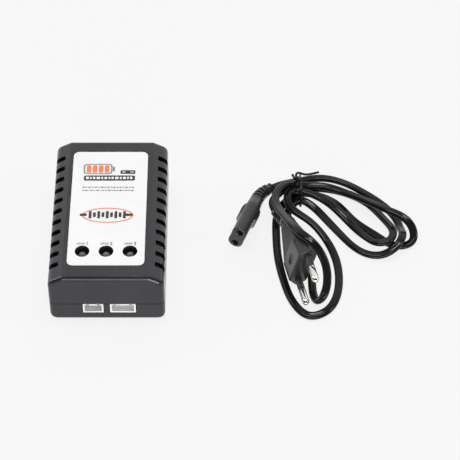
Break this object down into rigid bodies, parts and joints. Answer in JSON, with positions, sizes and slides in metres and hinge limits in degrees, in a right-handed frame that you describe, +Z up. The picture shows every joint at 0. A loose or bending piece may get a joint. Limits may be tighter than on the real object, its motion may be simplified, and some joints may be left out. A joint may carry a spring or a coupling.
{
  "type": "balance battery charger",
  "caption": "Compact mains balance charger for model batteries, with balance sockets in front, a figure-eight inlet behind, and a two-pin lead coiled beside it in a wire tie.",
  "frame": {"origin": "middle of the charger case at its underside, leaving out the loose mains lead", "axes": "+X to the right seen from the sockets, +Y from the sockets towards the mains inlet, +Z up"},
  "size_m": [0.1818, 0.0945, 0.0306],
  "materials": {
    "case_plastic": "fine satin texture",
    "label_film": "smooth white film",
    "socket_nylon": "natural nylon",
    "lamp_lens": "clear water-white epoxy",
    "spacer_plastic": "plain",
    "plated_pin": "tin and nickel plate",
    "board_laminate": "solder mask",
    "ferrite": "sintered",
    "coil_tape": "polyester tape",
    "capacitor_sleeve": "shrunk sleeve",
    "chip_resin": "moulded",
    "ceramic_disc": "dipped coating",
    "aluminium_plate": "mill",
    "screw_steel": "blackened",
    "lead_vinyl": "satin flexible vinyl",
    "contact_brass": "bright"
  },
  "bodies": {
    "charger": {"balance_socket_2s": "socket_nylon", "balance_socket_3s": "socket_nylon", "bridge_rectifier": "chip_resin", "bulk_capacitor": "capacitor_sleeve", "case_screw_1": "screw_steel", "case_screw_2": "screw_steel", "case_screw_3": "screw_steel", "case_screw_4": "screw_steel", "charge_transistor_1": "chip_resin", "charge_transistor_2": "chip_resin", "charge_transistor_3": "chip_resin", "circuit_board": "board_laminate", "control_chip": "chip_resin", "face_label": "label_film", "fuse": "ceramic_disc", "heat_sink": "aluminium_plate", "inlet_pin_left": "plated_pin", "inlet_pin_right": "plated_pin", "lamp_lens_1": "lamp_lens", "lamp_lens_2": "lamp_lens", "lamp_lens_3": "lamp_lens", "lamp_spacer_1": "spacer_plastic", "lamp_spacer_2": "spacer_plastic", "lamp_spacer_3": "spacer_plastic", "lower_shell": "case_plastic", "mains_choke": "coil_tape", "mains_inlet": "chip_resin", "optocoupler": "chip_resin", "output_capacitor_1": "capacitor_sleeve", "output_capacitor_2": "capacitor_sleeve", "rating_plate": "label_film", "safety_capacitor": "ceramic_disc", "socket_2s_pin_1": "plated_pin", "socket_2s_pin_2": "plated_pin", "socket_2s_pin_3": "plated_pin", "socket_3s_pin_1": "plated_pin", "socket_3s_pin_2": "plated_pin", "socket_3s_pin_3": "plated_pin", "socket_3s_pin_4": "plated_pin", "switching_chip": "chip_resin", "transformer_coil": "coil_tape", "transformer_core": "ferrite", "upper_shell": "case_plastic"},
    "mains_lead": {"appliance_connector": "lead_vinyl", "connector_contact_1": "contact_brass", "connector_contact_2": "contact_brass", "mains_cord": "lead_vinyl", "mains_plug": "lead_vinyl", "plug_pin_1": "plated_pin", "plug_pin_2": "plated_pin", "plug_sleeve_1": "lead_vinyl", "plug_sleeve_2": "lead_vinyl", "wire_tie": "lead_vinyl"}
  },
  "joints": [
    {"name": "mains_lead_lift", "type": "slide", "parent": "charger", "child": "mains_lead", "axis": [0, 0, 1], "range_m": [0, 0.1]}
  ]
}
